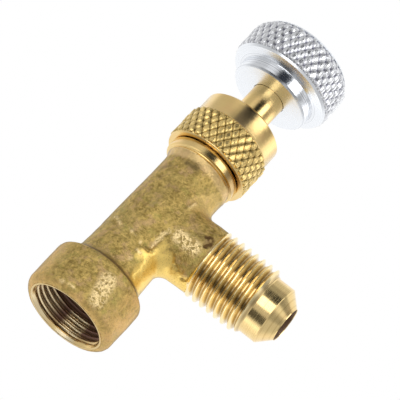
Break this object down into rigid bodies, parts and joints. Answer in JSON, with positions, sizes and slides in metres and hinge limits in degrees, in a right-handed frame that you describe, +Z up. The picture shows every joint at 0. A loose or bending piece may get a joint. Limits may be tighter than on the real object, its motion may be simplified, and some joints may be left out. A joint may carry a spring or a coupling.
{
  "type": "refrigerant can tap",
  "caption": "Brass tee valve that screws onto a refrigerant can: threaded inlet, side flare outlet, knurled gland nut and knurled aluminium knob on a screw spindle.",
  "frame": {"origin": "middle of the inlet's mouth face, on the spindle's axis", "axes": "+Z up the spindle from the inlet to the knob, +X out along the side outlet, +Y completes a right-handed frame"},
  "size_m": [0.0325, 0.0168, 0.0562],
  "materials": {
    "cast_brass": "rough cast, machined at the threads and the upper ring",
    "turned_brass": "turned and bright",
    "knurled_brass": "diamond knurl with a turned band",
    "knob_aluminium": "turned and diamond knurled",
    "gasket_rubber": "matt",
    "seal_rubber": "matt",
    "screw_steel": "turned, zinc plated"
  },
  "bodies": {
    "root": {"valve_body": "cast_brass", "inlet_gasket": "gasket_rubber", "gland_washer": "turned_brass", "stem_seal": "seal_rubber", "gland_nut": "knurled_brass"},
    "pusher": {"core_depressor": "turned_brass"},
    "spindle": {"stem": "turned_brass", "knob": "knob_aluminium", "knob_screw": "screw_steel"}
  },
  "joints": [
    {"name": "stem_travel", "type": "slide", "parent": "root", "child": "pusher", "axis": [0, 0, 1], "range_m": [-0.0045, 0]},
    {"name": "knob_turn", "type": "hinge", "parent": "pusher", "child": "spindle", "pos_m": [0, 0, 0.02035], "axis": [0, 0, 1], "range_deg": [-1620, 0]}
  ],
  "couplings": [
    {"joint": "stem_travel", "follows": "knob_turn", "m_per_rad": 0.00015915}
  ]
}
